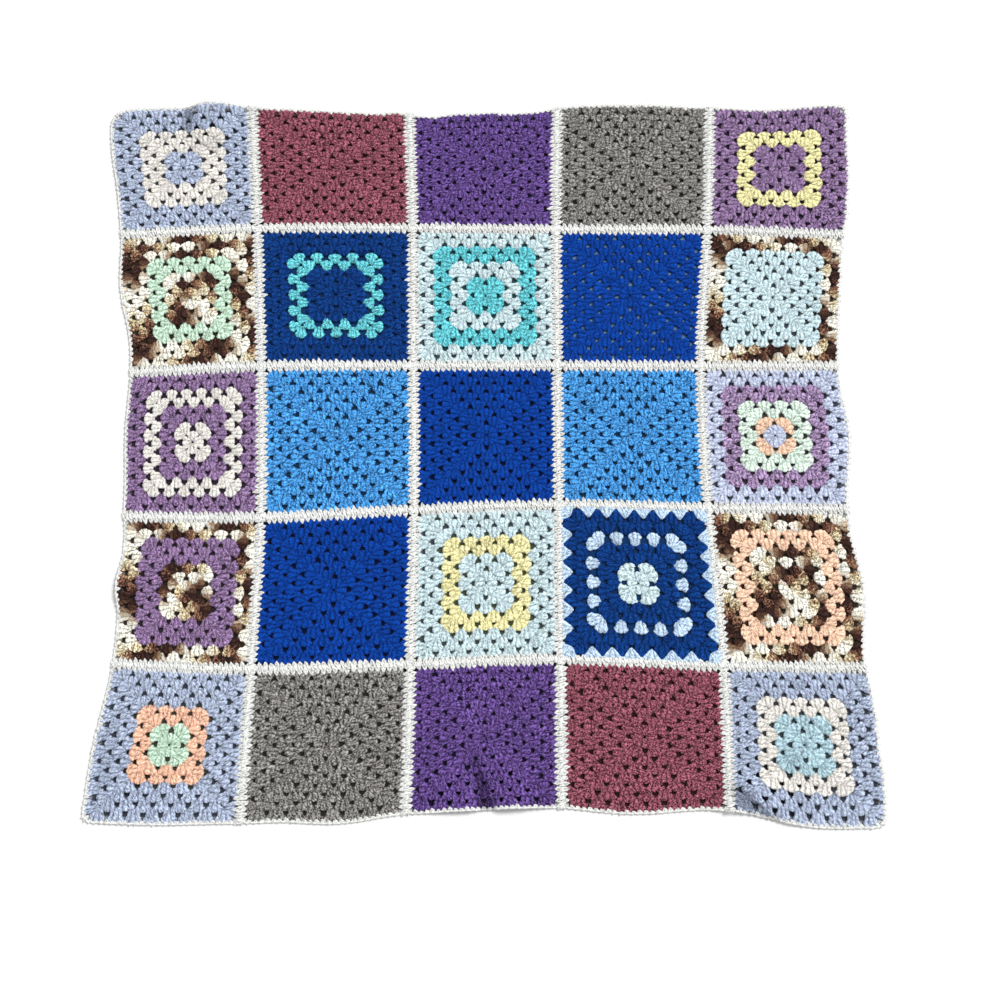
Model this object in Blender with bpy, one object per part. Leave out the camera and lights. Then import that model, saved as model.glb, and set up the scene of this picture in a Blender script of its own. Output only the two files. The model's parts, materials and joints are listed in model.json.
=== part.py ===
"""Granny square blanket: 25 crocheted squares, joined five by five, lying flat.

Each square is one piece of crochet worked outwards from its middle: eight coloured rounds and an
ivory edge round. It is one closed solid here, with its rounds as low ridges and with the gaps at
the middle of each side of rounds two, four and six cut through. The squares meet along joins that
were never quite straight, so the corners where they meet are named sizes below, and the lines
between them are smooth curves through those corners.

Metres, +Z up, the head edge towards +Y. The origin is the middle of the blanket's underside.
"""

import math
from dataclasses import dataclass

import bmesh
import bpy

MM = 0.001

# --- Driving sizes, in millimetres -------------------------------------------------------------
SQUARES_ACROSS = 5
SQUARES_DOWN = 5
ROUNDS = 8                    # coloured rounds in a square, counted from its middle
HALF_SQUARE = 90.0            # half the side of a square that was not pulled at all
EDGE_ROUND = 7.5              # width of the ivory round along each side
EDGE_CREST = 3.5              # how far the edge round's crest lies inside the square's rim
JOIN_GAP = 0.3                # clearance between two squares that are sewn together
ROUND_PITCH = (HALF_SQUARE - EDGE_ROUND) / ROUNDS

RIDGE_THICKNESS = 4.4         # over the tops of a round's clusters
VALLEY_THICKNESS = 3.2        # over their posts
MIDDLE_THICKNESS = 3.4        # over the ring that the square starts from
CREST_THICKNESS = 3.9         # over the edge round
RIM_THICKNESS = 2.8           # at the square's rim
VALLEY_PLACE = 0.4            # where the posts are thinnest, in rounds above the round below

GAP_ROUNDS = (2, 4, 6)        # the rounds whose side has a gap at its middle that is cut through
GAP_HALF_WIDTH = 2.6          # half of the gap along its round
GAP_HALF_HEIGHT = 2.5         # half of the gap across its round

JOINED_CORNER = 5.0           # trim of a square's corner where four squares meet
BLANKET_CORNER = 6.0          # rounding of the blanket's four own corners
BLANKET_CORNER_STEPS = 4

# Where the joins cross, one line of joins to a row and one (x, y) to a column, both counted from
# the head edge's left corner. The first and last of each are corners on the blanket's own edge.
CROSSINGS = {
    "head edge": ((-469, 452), (-288, 453), (-88, 442), (99, 447), (293, 449), (469, 451)),
    "join 1": ((-446, 279), (-276, 286), (-83, 285), (95, 282), (283, 280), (452, 272)),
    "join 2": ((-425, 98), (-266, 105), (-81, 104), (94, 103), (268, 101), (436, 100)),
    "join 3": ((-425, -83), (-261, -85), (-79, -77), (93, -72), (270, -77), (437, -80)),
    "join 4": ((-428, -259), (-267, -266), (-82, -262), (92, -257), (281, -266), (446, -270)),
    "foot edge": ((-455, -441), (-274, -443), (-86, -434), (91, -428), (281, -433), (458, -454)),
}


@dataclass(frozen=True)
class Bulge:
    """One place where an outer edge stands out from, or inside, the curve through its corners."""

    edge: str           # head, foot, left or right
    at: float           # its middle along the edge, in squares from the head or from the left
    half_length: float  # in squares
    reach: float        # outwards, in millimetres


BULGES = (
    Bulge(edge="head", at=0.78, half_length=0.26, reach=4.0),
    Bulge(edge="head", at=1.90, half_length=0.12, reach=2.5),
    Bulge(edge="head", at=2.14, half_length=0.20, reach=-3.5),
    Bulge(edge="head", at=2.75, half_length=0.25, reach=-3.0),
    Bulge(edge="head", at=3.20, half_length=0.35, reach=5.0),
    Bulge(edge="head", at=3.55, half_length=0.40, reach=5.0),
    Bulge(edge="head", at=4.40, half_length=0.45, reach=-5.0),
    Bulge(edge="foot", at=0.45, half_length=0.45, reach=1.5),
    Bulge(edge="foot", at=1.60, half_length=0.42, reach=6.0),
    Bulge(edge="foot", at=3.42, half_length=0.50, reach=7.0),
    Bulge(edge="foot", at=4.50, half_length=0.55, reach=9.0),
    Bulge(edge="left", at=0.35, half_length=0.35, reach=2.5),
    Bulge(edge="left", at=1.40, half_length=0.42, reach=7.0),
    Bulge(edge="left", at=2.40, half_length=0.50, reach=4.5),
    Bulge(edge="left", at=3.15, half_length=0.25, reach=-3.0),
    Bulge(edge="left", at=3.47, half_length=0.22, reach=4.0),
    Bulge(edge="left", at=4.50, half_length=0.55, reach=5.0),
    Bulge(edge="right", at=0.60, half_length=0.45, reach=5.5),
    Bulge(edge="right", at=0.86, half_length=0.14, reach=3.0),
    Bulge(edge="right", at=2.50, half_length=0.50, reach=10.0),
    Bulge(edge="right", at=3.52, half_length=0.45, reach=9.5),
    Bulge(edge="right", at=4.25, half_length=0.32, reach=5.0),
    Bulge(edge="right", at=4.65, half_length=0.45, reach=5.5),
)


@dataclass(frozen=True)
class DrawnCorner:
    """One of the blanket's own corners, which is drawn inwards and so rounded."""

    right: bool         # whether it is a right corner
    foot: bool          # whether it is at the foot
    pull: float         # how far its tip is drawn in, both ways, in millimetres
    along: float        # how far the pull reaches along the two edges
    inwards: float      # and along the diagonal


DRAWN_CORNERS = (
    DrawnCorner(right=False, foot=False, pull=8.5, along=32.0, inwards=60.0),
    DrawnCorner(right=False, foot=True, pull=3.0, along=16.0, inwards=40.0),
    DrawnCorner(right=True, foot=False, pull=4.5, along=18.0, inwards=36.0),
    DrawnCorner(right=True, foot=True, pull=4.5, along=20.0, inwards=40.0),
)


@dataclass(frozen=True)
class Fold:
    """One soft rise of the cloth: long one way, and with a flank to the left and to the right."""

    name: str
    x: float            # the middle of its crest, in millimetres
    y: float
    heading: float      # the way its crest runs, in degrees from +X
    half_length: float
    left_flank: float   # width of the slope on the left of the heading
    right_flank: float
    height: float


FOLDS = (
    Fold("head pucker", -350, 452, 90, 58, 20, 66, 10.0),
    Fold("foot pleat, left lip", -18, -430, 102, 74, 60, 24, 5.5),
    Fold("foot pleat, right lip", 26, -430, 107, 88, 16, 58, 8.0),
    Fold("foot corner, tucked lip", 288, -436, 134, 34, 34, 15, 5.0),
    Fold("foot corner, swell", 324, -420, 139, 62, 16, 56, 7.5),
    Fold("left edge, curl", -430, -172, 90, 34, 20, 30, 5.0),
    Fold("left foot corner, swell", -398, -372, 80, 90, 36, 40, 3.5),
)

# Extra points along the outer sides that a fold meets, so that the solid follows the fold:
# places along the side, from -1 to +1, in the order of the side's own run.
PLAIN_SIDE = (0.0,)
FREE_SIDE = (-0.5, 0.0, 0.5)
FOLDED_SIDES = {
    ("square_r1c1", "head"): (-0.45, -0.1, 0.12, 0.3, 0.48, 0.72),
    ("square_r5c3", "foot"): (-0.6, -0.22, -0.04, 0.1, 0.25, 0.6),
    ("square_r5c5", "foot"): (-0.5, 0.0, 0.2, 0.36, 0.55, 0.8),
    ("square_r4c1", "left"): (-0.6, -0.3, 0.0, 0.3, 0.6),
}

# Further points on the rim alone, where it runs into a corner that is drawn in.
DRAWN_SIDES = {
    ("square_r1c1", "head"): (-0.9, -0.8, -0.68),
    ("square_r1c1", "left"): (0.68, 0.8, 0.9),
}

# The sides in the order in which a round is worked, each with its two ends in the square's own
# plane, where x and y run from -1 to +1.
SIDES = {
    "head": ((-1.0, 1.0), (1.0, 1.0)),
    "right": ((1.0, 1.0), (1.0, -1.0)),
    "foot": ((1.0, -1.0), (-1.0, -1.0)),
    "left": ((-1.0, -1.0), (-1.0, 1.0)),
}

# The yarn of each square's last coloured round, which is most of what its solid shows.
YARNS = {
    "periwinkle": (0.33, 0.41, 0.71),
    "dusty rose": (0.27, 0.06, 0.09),
    "deep purple": (0.12, 0.05, 0.29),
    "grey": (0.20, 0.19, 0.18),
    "lilac purple": (0.24, 0.12, 0.35),
    "variegated brown": (0.22, 0.11, 0.06),
    "navy": (0.01, 0.04, 0.22),
    "ice blue": (0.58, 0.74, 0.77),
    "royal blue": (0.01, 0.05, 0.44),
    "azure": (0.05, 0.22, 0.72),
    "pale lilac": (0.60, 0.58, 0.74),
}
LAST_ROUND = (
    ("periwinkle", "dusty rose", "deep purple", "grey", "lilac purple"),
    ("variegated brown", "navy", "ice blue", "royal blue", "variegated brown"),
    ("lilac purple", "azure", "royal blue", "azure", "periwinkle"),
    ("variegated brown", "royal blue", "ice blue", "pale lilac", "variegated brown"),
    ("periwinkle", "grey", "deep purple", "dusty rose", "periwinkle"),
)


# --- The lie of the cloth ----------------------------------------------------------------------
def smooth_curve(points, place):
    """Point at `place` on the Catmull-Rom curve through `points`, which are numbered from 0."""
    last = len(points) - 1
    first = min(int(place), last - 1)
    part = place - first

    def point(index):
        if index < 0:
            return tuple(2 * a - b for a, b in zip(points[0], points[1]))
        if index > last:
            return tuple(2 * a - b for a, b in zip(points[last], points[last - 1]))
        return points[index]

    before, start, end, after = (point(first + step) for step in (-1, 0, 1, 2))
    return tuple(
        b + 0.5 * part * (c - a + part * (2 * a - 5 * b + 4 * c - d + part * (3 * (b - c) + d - a)))
        for a, b, c, d in zip(before, start, end, after)
    )


def soft_bump(distance, reach):
    """A rise of 1 at distance 0 that runs out smoothly at `reach`."""
    if abs(distance) >= reach:
        return 0.0
    return math.cos(0.5 * math.pi * distance / reach) ** 2


def cloth_point(across, down):
    """Place in the cloth's plane, `across` squares from the left and `down` from the head edge."""
    rows = [smooth_curve(row, across) for row in CROSSINGS.values()]
    x, y = smooth_curve(rows, down)
    for bulge in BULGES:
        along, inwards = {
            "head": (across, down),
            "foot": (across, SQUARES_DOWN - down),
            "left": (down, across),
            "right": (down, SQUARES_ACROSS - across),
        }[bulge.edge]
        if inwards < 1.0:
            push = bulge.reach * soft_bump(along - bulge.at, bulge.half_length) * (1 - inwards) ** 2
            x += {"left": -push, "right": push}.get(bulge.edge, 0.0)
            y += {"head": push, "foot": -push}.get(bulge.edge, 0.0)
    for corner in DRAWN_CORNERS:
        aside = 2 * HALF_SQUARE * (SQUARES_ACROSS - across if corner.right else across)
        below = 2 * HALF_SQUARE * (SQUARES_DOWN - down if corner.foot else down)
        apart = max(0.0, 1 - abs(aside - below) / corner.along)
        depth = max(0.0, 1 - min(aside, below) / corner.inwards)
        pull = corner.pull * apart ** 2 * depth ** 2
        x += -pull if corner.right else pull
        y += pull if corner.foot else -pull
    return x, y


def cloth_lift(x, y):
    """How far the folds raise the cloth off the surface at one place."""
    lift = 0.0
    for fold in FOLDS:
        run_x = math.cos(math.radians(fold.heading))
        run_y = math.sin(math.radians(fold.heading))
        along = (x - fold.x) * run_x + (y - fold.y) * run_y
        left = (y - fold.y) * run_x - (x - fold.x) * run_y
        flank = fold.left_flank if left > 0 else fold.right_flank
        lift += fold.height * soft_bump(along, fold.half_length) * soft_bump(left, flank)
    return lift


# --- One square --------------------------------------------------------------------------------
class Square:
    """One crocheted square, built as loops of points from its middle to its rim."""

    def __init__(self, row, column):
        self.row = row
        self.column = column
        self.name = f"square_r{row + 1}c{column + 1}"
        self.mesh = bmesh.new()

    def is_free(self, side):
        """Whether a side lies on the blanket's own edge."""
        return {
            "head": self.row == 0,
            "foot": self.row == SQUARES_DOWN - 1,
            "left": self.column == 0,
            "right": self.column == SQUARES_ACROSS - 1,
        }[side]

    def stops(self, side, on_rim):
        """Places between the two ends of a side that get a point."""
        plain = FREE_SIDE if on_rim and self.is_free(side) else PLAIN_SIDE
        drawn = DRAWN_SIDES.get((self.name, side), ()) if on_rim else ()
        return (*FOLDED_SIDES.get((self.name, side), plain), *drawn)

    def point(self, x, y, thickness):
        """New point of the mesh, from the square's own plane to its place in the blanket."""
        across = self.column + (x / HALF_SQUARE + 1) / 2
        down = self.row + (1 - y / HALF_SQUARE) / 2
        world_x, world_y = cloth_point(across, down)
        return self.mesh.verts.new((world_x, world_y, cloth_lift(world_x, world_y) + thickness))

    def loop(self, half, thickness, on_rim=False):
        """Points round the square at `half` millimetres from its middle, as (place, point) pairs.

        The place counts the sides passed, from the head side's left end, so that points of two
        loops can be told to lie side by side.
        """
        pairs = []
        for number, (side, (start, end)) in enumerate(SIDES.items()):
            for place, x, y in self.corner(number, half, on_rim):
                pairs.append((place, self.point(x, y, thickness)))
            for stop in self.stops(side, on_rim):
                share = (stop + 1) / 2
                x, y = (half * (a + share * (b - a)) for a, b in zip(start, end))
                pairs.append((number + share, self.point(x, y, thickness)))
        return sorted(pairs, key=lambda pair: pair[0])

    def corner(self, number, half, on_rim):
        """Places (place, x, y) of the points at the corner where side `number` starts."""
        sides = list(SIDES)
        x, y = (half * part for part in SIDES[sides[number]][0])
        if not on_rim:
            return [(float(number), x, y)]
        own = self.is_free(sides[number]) and self.is_free(sides[number - 1])
        trim = BLANKET_CORNER if own else JOINED_CORNER
        steps = BLANKET_CORNER_STEPS if own else 1
        before, after = SIDES[sides[number - 1]], SIDES[sides[number]]
        back = [a - b for a, b in zip(before[0], before[1])]
        ahead = [b - a for a, b in zip(after[0], after[1])]
        points = []
        for step in range(steps + 1):
            angle = 0.5 * math.pi * step / steps
            toward_back = trim * (1 - math.sin(angle)) / 2
            toward_ahead = trim * (1 - math.cos(angle)) / 2
            place = (number + (toward_ahead - toward_back) / (2 * half)) % len(SIDES)
            points.append((
                place,
                x + toward_back * back[0] + toward_ahead * ahead[0],
                y + toward_back * back[1] + toward_ahead * ahead[1],
            ))
        return points

    def gapped_loop(self, half, thickness):
        """A loop whose four side middles are gaps: its inner view, outer view and gap rims."""
        plain = self.loop(half, thickness)
        inner, outer, rims = [], [], []
        for place, point in plain:
            if abs(place % 1 - 0.5) > 0.001:
                inner.append((place, point))
                outer.append((place, point))
                continue
            x, y = self.side_middle(int(place), half)
            out_x, out_y = x / half, y / half
            back = (x - out_y * GAP_HALF_WIDTH, y + out_x * GAP_HALF_WIDTH)
            ahead = (x + out_y * GAP_HALF_WIDTH, y - out_x * GAP_HALF_WIDTH)
            low = (x - out_x * GAP_HALF_HEIGHT, y - out_y * GAP_HALF_HEIGHT)
            high = (x + out_x * GAP_HALF_HEIGHT, y + out_y * GAP_HALF_HEIGHT)
            self.mesh.verts.remove(point)
            rim = [self.point(*spot, thickness) for spot in (back, high, ahead, low)]
            reach = GAP_HALF_WIDTH / (2 * half)
            for view, middle in ((inner, rim[3]), (outer, rim[1])):
                view += [(place - reach, rim[0]), (place, middle), (place + reach, rim[2])]
            rims.append(rim)
        return inner, outer, rims

    @staticmethod
    def side_middle(number, half):
        """Middle of side `number` at `half` from the square's middle."""
        start, end = list(SIDES.values())[number]
        return tuple(half * (a + b) / 2 for a, b in zip(start, end))

    def bridge(self, low, high):
        """Fill the band between two loops of (place, point) pairs with triangles."""
        turns = len(SIDES)
        i = j = 0
        while i < len(low) or j < len(high):
            next_low = low[(i + 1) % len(low)][0] + turns * ((i + 1) // len(low))
            next_high = high[(j + 1) % len(high)][0] + turns * ((j + 1) // len(high))
            a, b = low[i % len(low)][1], high[j % len(high)][1]
            if j >= len(high) or (i < len(low) and next_low <= next_high):
                i += 1
                self.mesh.faces.new((a, b, low[i % len(low)][1]))
            else:
                j += 1
                self.mesh.faces.new((a, b, high[j % len(high)][1]))

    def fan(self, loop, thickness):
        """Close the middle of the square inside its first loop."""
        hub = self.point(0.0, 0.0, thickness)
        for (_, a), (_, b) in zip(loop, loop[1:] + loop[:1]):
            self.mesh.faces.new((hub, a, b))

    def face(self, with_ridges):
        """One face of the square; returns its rim loop and the rims of its gaps by round."""
        underside = not with_ridges
        gaps = {}
        inside = None
        for number in range(1, ROUNDS + 1):
            valley = (number - 1 + VALLEY_PLACE) * ROUND_PITCH
            thickness = 0.0 if underside else VALLEY_THICKNESS
            if number in GAP_ROUNDS:
                inner, outer, gaps[number] = self.gapped_loop(valley, thickness)
                if inside is None:
                    self.fan(inner, 0.0)
                else:
                    self.bridge(inside, inner)
                inside = outer
            elif with_ridges and number > 1:
                loop = self.loop(valley, thickness)
                self.bridge(inside, loop)
                inside = loop
            if with_ridges:
                ridge = self.loop(number * ROUND_PITCH, RIDGE_THICKNESS)
                if inside is None:
                    self.fan(ridge, MIDDLE_THICKNESS)
                else:
                    self.bridge(inside, ridge)
                inside = ridge
        if with_ridges or any(name == self.name for name, _ in FOLDED_SIDES):
            crest = self.loop(HALF_SQUARE - EDGE_CREST, 0.0 if underside else CREST_THICKNESS)
            self.bridge(inside, crest)
            inside = crest
        rim = self.loop(HALF_SQUARE - JOIN_GAP / 2, 0.0 if underside else RIM_THICKNESS, True)
        self.bridge(inside, rim)
        return rim, gaps

    def walls(self, upper, lower):
        """Join the upper and lower points of one closed line."""
        for a, b, c, d in zip(upper, upper[1:] + upper[:1], lower[1:] + lower[:1], lower):
            self.mesh.faces.new((a, b, c, d))

    def build(self):
        """Make the whole closed solid and return its bmesh."""
        top_rim, top_gaps = self.face(with_ridges=True)
        low_rim, low_gaps = self.face(with_ridges=False)
        self.walls([point for _, point in top_rim], [point for _, point in low_rim])
        for number, rims in top_gaps.items():
            for upper, lower in zip(rims, low_gaps[number]):
                self.walls(upper, lower)
        bmesh.ops.recalc_face_normals(self.mesh, faces=self.mesh.faces[:])
        return self.mesh


# --- The blanket -------------------------------------------------------------------------------
def yarn_material(name):
    """Matt acrylic yarn of one colour."""
    material = bpy.data.materials.get(name) or bpy.data.materials.new(name)
    material.use_nodes = True
    shader = material.node_tree.nodes["Principled BSDF"]
    shader.inputs["Base Color"].default_value = (*YARNS[name], 1.0)
    shader.inputs["Roughness"].default_value = 0.9
    shader.inputs["Metallic"].default_value = 0.0
    material.diffuse_color = (*YARNS[name], 1.0)
    return material


def middle_of(low_high):
    """Middle of the box round all the squares, in millimetres, on the surface they lie on."""
    return [(low + high) / 2 for low, high in low_high]


def make_blanket():
    """Build all the squares round the middle of the blanket and parent them to one empty."""
    squares = [Square(row, column) for row in range(SQUARES_DOWN) for column in range(SQUARES_ACROSS)]
    for square in squares:
        square.build()
    points = [point.co for square in squares for point in square.mesh.verts]
    middle_x, middle_y = middle_of([
        (min(point[axis] for point in points), max(point[axis] for point in points))
        for axis in (0, 1)
    ])

    blanket = bpy.data.objects.new("blanket", None)
    bpy.context.scene.collection.objects.link(blanket)
    for square in squares:
        home_x, home_y = cloth_point(square.column + 0.5, square.row + 0.5)
        for point in square.mesh.verts:
            point.co.x = (point.co.x - home_x) * MM
            point.co.y = (point.co.y - home_y) * MM
            point.co.z *= MM
        shape = bpy.data.meshes.new(square.name)
        square.mesh.to_mesh(shape)
        square.mesh.free()
        shape.materials.append(yarn_material(LAST_ROUND[square.row][square.column]))
        piece = bpy.data.objects.new(square.name, shape)
        piece.location = ((home_x - middle_x) * MM, (home_y - middle_y) * MM, 0.0)
        piece.parent = blanket
        bpy.context.scene.collection.objects.link(piece)


for leftover in list(bpy.data.objects):
    bpy.data.objects.remove(leftover, do_unlink=True)
make_blanket()
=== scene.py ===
"""Looks of a granny square blanket: its yarn, stitch by stitch, on a plain pale floor.

Each of its 25 crocheted squares is one mesh of closed strands: the clusters of its eight coloured
rounds, and the stitches of its ivory edge round. The seams are meshes of whip stitches. All strands
are laid out in the flat plane of a blanket that was never pulled, in millimetres, and then moved to
where the real, uneven blanket lies.
"""

import json
import logging
import math
from dataclasses import dataclass, field
from enum import Enum

import bpy
import numpy as np
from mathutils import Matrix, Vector


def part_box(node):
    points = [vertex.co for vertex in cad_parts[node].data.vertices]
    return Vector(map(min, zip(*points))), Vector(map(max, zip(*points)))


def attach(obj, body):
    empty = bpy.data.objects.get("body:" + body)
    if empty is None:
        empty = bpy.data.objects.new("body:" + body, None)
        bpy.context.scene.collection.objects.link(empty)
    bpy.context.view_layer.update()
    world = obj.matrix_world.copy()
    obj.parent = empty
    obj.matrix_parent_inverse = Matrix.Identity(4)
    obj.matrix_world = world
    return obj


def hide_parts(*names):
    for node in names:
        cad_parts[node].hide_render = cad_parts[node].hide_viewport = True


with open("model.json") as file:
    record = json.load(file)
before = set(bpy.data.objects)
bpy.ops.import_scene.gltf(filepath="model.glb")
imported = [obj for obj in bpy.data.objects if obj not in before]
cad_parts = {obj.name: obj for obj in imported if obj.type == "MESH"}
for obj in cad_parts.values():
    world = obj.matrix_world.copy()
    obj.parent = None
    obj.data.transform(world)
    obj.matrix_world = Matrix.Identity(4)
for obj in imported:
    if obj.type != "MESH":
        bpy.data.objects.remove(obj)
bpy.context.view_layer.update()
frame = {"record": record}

MM = 0.001
SEED = 25
UV_NAME = "OFBake"

log = logging.getLogger("granny_square_blanket")

Numbers = np.ndarray | float
Colour = tuple[float, float, float]


# --- Yarns ---
def linear(red: int, green: int, blue: int) -> Colour:
    """Turn a colour of 0 to 255 a channel, as a screen shows it, into Blender's linear colour."""
    shares = (channel / 255 for channel in (red, green, blue))
    return tuple(s / 12.92 if s <= 0.04045 else ((s + 0.055) / 1.055) ** 2.4 for s in shares)


class Yarn(Enum):
    """The yarns of the blanket: the letter of each in the chart, and its colour on a screen."""

    PERIWINKLE = ("p", 170, 181, 204)
    PALE_PERIWINKLE = ("f", 189, 197, 221)
    CREAM = ("c", 223, 219, 213)
    DUSTY_ROSE = ("r", 138, 79, 93)
    DEEP_PURPLE = ("u", 98, 73, 135)
    GREY = ("g", 129, 127, 124)
    LILAC_PURPLE = ("l", 140, 114, 152)
    YELLOW = ("y", 232, 225, 170)
    VARIEGATED = ("v", 150, 125, 102)  # all its colours, taken together
    MINT = ("m", 194, 221, 199)
    PALE_MINT = ("e", 212, 230, 216)
    NAVY = ("n", 13, 58, 124)
    TURQUOISE = ("t", 102, 196, 206)
    ICE_BLUE = ("i", 195, 216, 221)
    ROYAL_BLUE = ("b", 10, 63, 152)
    BABY_BLUE = ("w", 196, 218, 224)
    AZURE = ("a", 74, 149, 216)
    PEACH = ("o", 241, 201, 174)
    DEEP_PEACH = ("d", 236, 187, 161)
    ORCHID = ("k", 160, 137, 173)
    PALE_LILAC = ("q", 186, 208, 231)
    LIGHT_BLUE = ("s", 171, 199, 209)
    IVORY = ("x", 240, 241, 238)

    @property
    def colour(self) -> Colour:
        """Its linear colour."""
        return linear(*self.value[1:])


LETTERS = {yarn.value[0]: yarn for yarn in Yarn}

# The yarn of each round of each square, from the middle outwards, head row first.
CHART = (
    ("ppcccppp", "rrrrrrrr", "uuuuuuuu", "gggggggg", "lllyylll"),
    ("vvvmmvvv", "nnnttnnn", "ttiittii", "bbbbbbbb", "wwwwwwvv"),
    ("ccllccll", "aaaaaaaa", "bbbbbbbb", "aaaaaaaa", "foeekkff"),
    ("vvvlllvv", "bbbbbbbb", "iiiyyiii", "iinnqnnq", "vvvvoovv"),
    ("mmddpppp", "gggggggg", "uuuuuuuu", "rrrrrrrr", "sssccppp"),
)


# --- Shader expressions ---
Value = "Wire | float"


class Wire:
    """A value, colour or vector in a material's node tree, with Python's operators on it."""

    def __init__(self, shader: "Shader", socket: bpy.types.NodeSocket) -> None:
        """Wrap one output socket of a shader's tree."""
        self.shader = shader
        self.socket = socket

    def math(self, operation: str, *values: Value) -> "Wire":
        """Result of a Math node with these values as its inputs."""
        settings = {"operation": operation}
        return self.shader.node("ShaderNodeMath", settings, dict(enumerate(values)))

    def __add__(self, other: Value) -> "Wire":
        """Sum of two values."""
        return self.math("ADD", self, other)

    __radd__ = __add__

    def __sub__(self, other: Value) -> "Wire":
        """Difference of two values."""
        return self.math("SUBTRACT", self, other)

    def __rsub__(self, other: float) -> "Wire":
        """Difference of a number and this value."""
        return self.math("SUBTRACT", other, self)

    def __mul__(self, other: Value) -> "Wire":
        """Product of two values."""
        return self.math("MULTIPLY", self, other)

    __rmul__ = __mul__

    def __truediv__(self, other: float) -> "Wire":
        """Quotient of this value and a number."""
        return self.math("DIVIDE", self, other)

    def __mod__(self, other: float) -> "Wire":
        """What is left of this value after whole steps of the other."""
        return self.math("FLOORED_MODULO", self, other)

    def clamped(self, low: float, high: float) -> "Wire":
        """This value, kept between two others."""
        return self.shader.node("ShaderNodeClamp", {}, {"Value": self, "Min": low, "Max": high})

    def scaled(self, factor: Value) -> "Wire":
        """This colour, made brighter or darker by a factor."""
        settings = {"operation": "SCALE"}
        return self.shader.node("ShaderNodeVectorMath", settings, {0: self, "Scale": factor})


class Shader:
    """The node tree of one material."""

    def __init__(self, name: str) -> None:
        """Start a material with a Principled shader."""
        self.material = bpy.data.materials.new(name)
        self.material.use_nodes = True
        self.tree = self.material.node_tree
        self.surface = self.tree.nodes["Principled BSDF"]

    def node(self, kind: str, settings: dict, inputs: dict, output: "int | str" = 0) -> Wire:
        """Add any node.

        Args:
            kind: the node's Blender type.
            settings: its own properties, set first. A ramp's stops are under "stops", as pairs of
                place and linear colour.
            inputs: numbers, colours or wires for its sockets, by socket name or number.
            output: the output socket that is wanted.

        Returns:
            That output.
        """
        node = self.tree.nodes.new(kind)
        for key, value in settings.items():
            if key != "stops":
                setattr(node, key, value)
        ramp = getattr(node, "color_ramp", None)
        for number, (place, colour) in enumerate(settings.get("stops", ())):
            stop = ramp.elements[number] if number < 2 else ramp.elements.new(place)
            stop.position = place
            stop.color = (*colour, 1.0)
        for key, value in inputs.items():
            self.feed(node.inputs[key], value)
        return Wire(self, node.outputs[output])

    def feed(self, socket: bpy.types.NodeSocket, value: "Wire | float | tuple") -> None:
        """Link a wire to a socket, or set a plain value on it."""
        if isinstance(value, Wire):
            self.tree.links.new(value.socket, socket)
        else:
            socket.default_value = value

    def attribute(self, name: str, output: str = "Fac") -> Wire:
        """Value or colour that the mesh carries at each of its points."""
        return self.node("ShaderNodeAttribute", {"attribute_name": name}, {}, output)

    def noise(self, x: Wire, y: Wire, z: Wire) -> Wire:
        """Soft noise with about one wave to each step of x, y and z."""
        place = self.node("ShaderNodeCombineXYZ", {}, {"X": x, "Y": y, "Z": z})
        inputs = {"Vector": place, "Scale": 1.0, "Detail": 2.0}
        return self.node("ShaderNodeTexNoise", {}, inputs)

    def finish(self, **inputs: "Wire | float | tuple") -> bpy.types.Material:
        """Feed the Principled shader, by socket name with _ for a space; return the material."""
        for name, value in inputs.items():
            self.feed(self.surface.inputs[name.replace("_", " ")], value)
        return self.material


# --- Finishes ---
@dataclass(frozen=True)
class YarnFinish:
    """Matt acrylic yarn of one colour, with flecks where it twists, painted shade deep in its stitches
    and a painted highlight on its strands.
    """

    colour: Colour
    deep: float = 0.20  # painted shade: brightness deep between strands
    crest: float = 1.15  # painted highlight: brightness on top of a strand
    tone_range: float = 0.07  # how much one stitch differs from the next
    fleck_range: float = 3.0  # how much the brightness changes from fleck to fleck
    fleck_width: float = 1.5  # in millimetres
    fleck_length: float = 2.6
    darkest: float = 0.15  # brightness of the darkest flecks
    brightest: float = 2.6
    slant: float = 35.0  # how far the flecks slant from the strand, in degrees
    apart: float = 50.0  # how far the noise moves on for one step of tone
    purity: float = 1.12  # power of each channel in the darkest flecks
    bump_depth: float = 0.6 * MM

    def dye(self, shader: Shader, fleck: Wire) -> Wire:
        """Colour of the yarn before light and shade, a little purer in its darker flecks.

        Args:
            shader: the material's shader.
            fleck: noise from 0 to 1, one wave to a fleck.

        Returns:
            The colour.
        """
        deeper = tuple(channel ** self.purity for channel in self.colour)
        stops = ((0.3, deeper), (0.6, self.colour))
        return shader.node("ShaderNodeValToRGB", {"stops": stops}, {"Fac": fleck})

    def material(self, name: str) -> bpy.types.Material:
        """Make the material.

        Args:
            name: its name.

        Returns:
            The material.
        """
        shader = Shader(name)
        tone = shader.attribute("tone")
        run, side = shader.attribute("run"), shader.attribute("side")
        cosine, sine = math.cos(math.radians(self.slant)), math.sin(math.radians(self.slant))
        fleck = shader.noise(
            (side * cosine + run * sine) / self.fleck_width,
            (run * cosine - side * sine) / self.fleck_length,
            tone * self.apart,
        )
        flecks = ((fleck - 0.5) * self.fleck_range + 1).clamped(self.darkest, self.brightest)
        # Painted light: the colour is darker deep between strands and in the folds' hollows, and
        # brighter on top of strands.
        light = shader.attribute("painted_light") * (self.crest - self.deep) + self.deep
        light = light * (tone * self.tone_range + 1) * flecks
        bump = {"Strength": 0.8, "Distance": self.bump_depth, "Height": fleck}
        return shader.finish(
            Base_Color=self.dye(shader, fleck).scaled(light),
            Normal=shader.node("ShaderNodeBump", {}, bump),
            Roughness=0.92,
            Specular_IOR_Level=0.08,
            Sheen_Weight=0.03,
            Sheen_Roughness=0.5,
        )


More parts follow.
